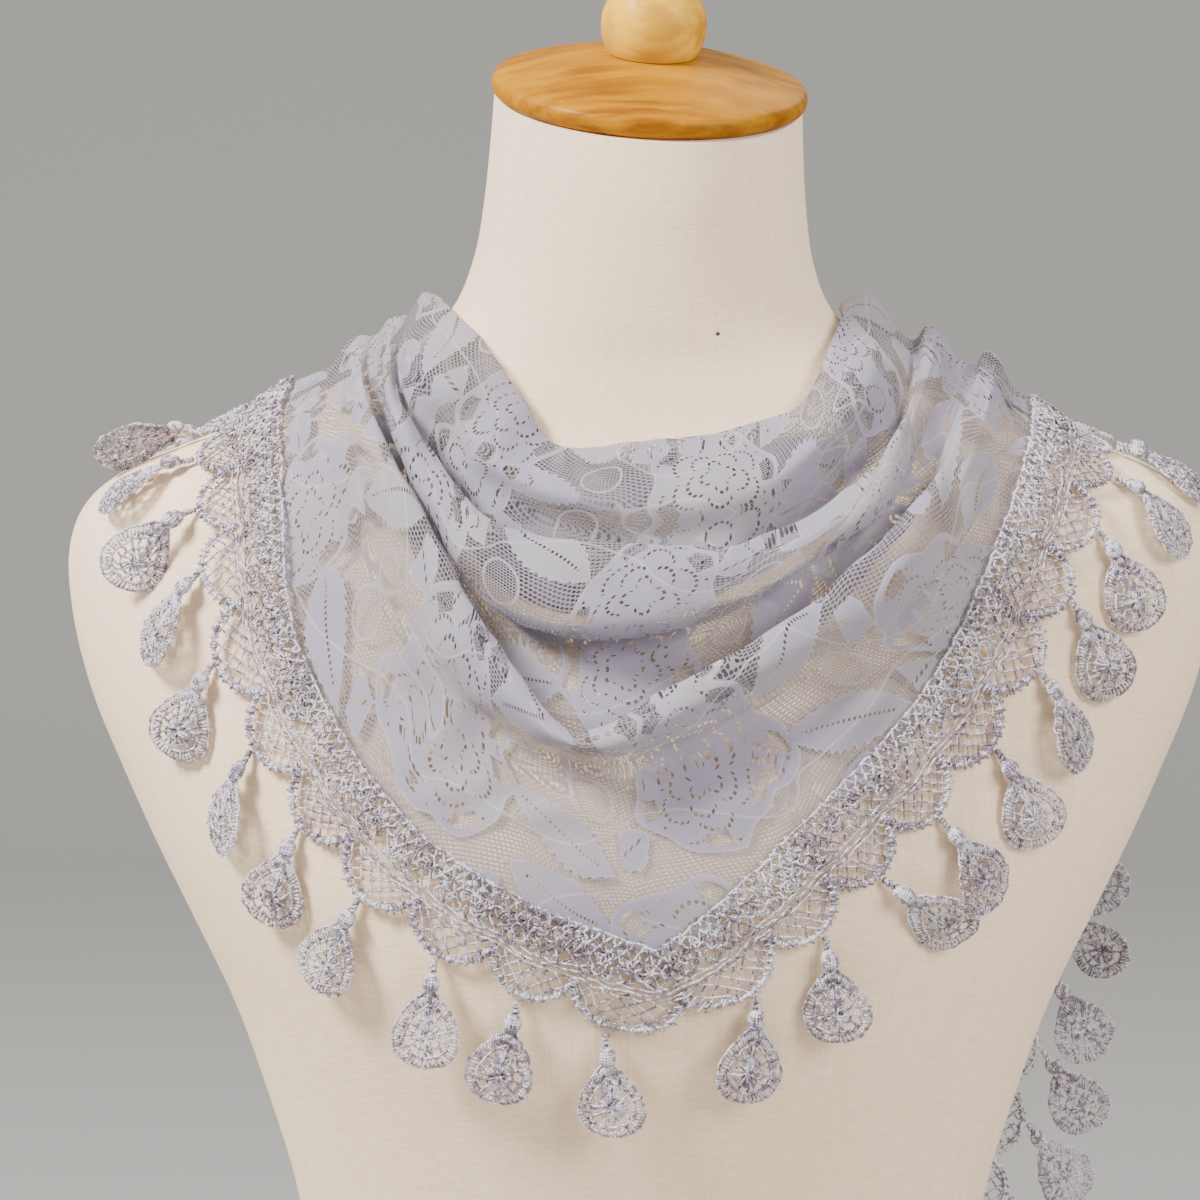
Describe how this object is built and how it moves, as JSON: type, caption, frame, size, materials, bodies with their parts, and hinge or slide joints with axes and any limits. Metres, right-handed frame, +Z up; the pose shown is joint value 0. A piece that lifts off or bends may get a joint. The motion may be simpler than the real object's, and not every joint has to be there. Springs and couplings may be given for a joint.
{
  "type": "lace triangle scarf on a dress form",
  "caption": "Lace triangle scarf with corded edging and teardrop fringe, draped as a cowl over a limbless jersey dress form with a turned wooden neck cap and ball knob.",
  "frame": {"origin": "on the dress form's flat base, under the form's axis", "axes": "+Z up the form towards the neck cap, -Y out of its chest, +X towards the viewer's right when its chest is seen"},
  "size_m": [0.3894, 0.2301, 0.7305],
  "materials": {
    "lace": "pale lilac-grey floral lace, semi-sheer",
    "thread": "shiny lilac-grey corded lace edging",
    "jersey": "cream knit jersey, stretched smooth",
    "wood": "honey brown, varnished"
  },
  "bodies": {
    "root": {"drape_front": "lace", "tail_left": "lace", "tail_right": "lace", "edging_front": "thread", "edging_left": "thread", "edging_right": "thread", "form_torso": "jersey", "form_cap": "wood", "form_knob": "wood"}
  },
  "joints": []
}
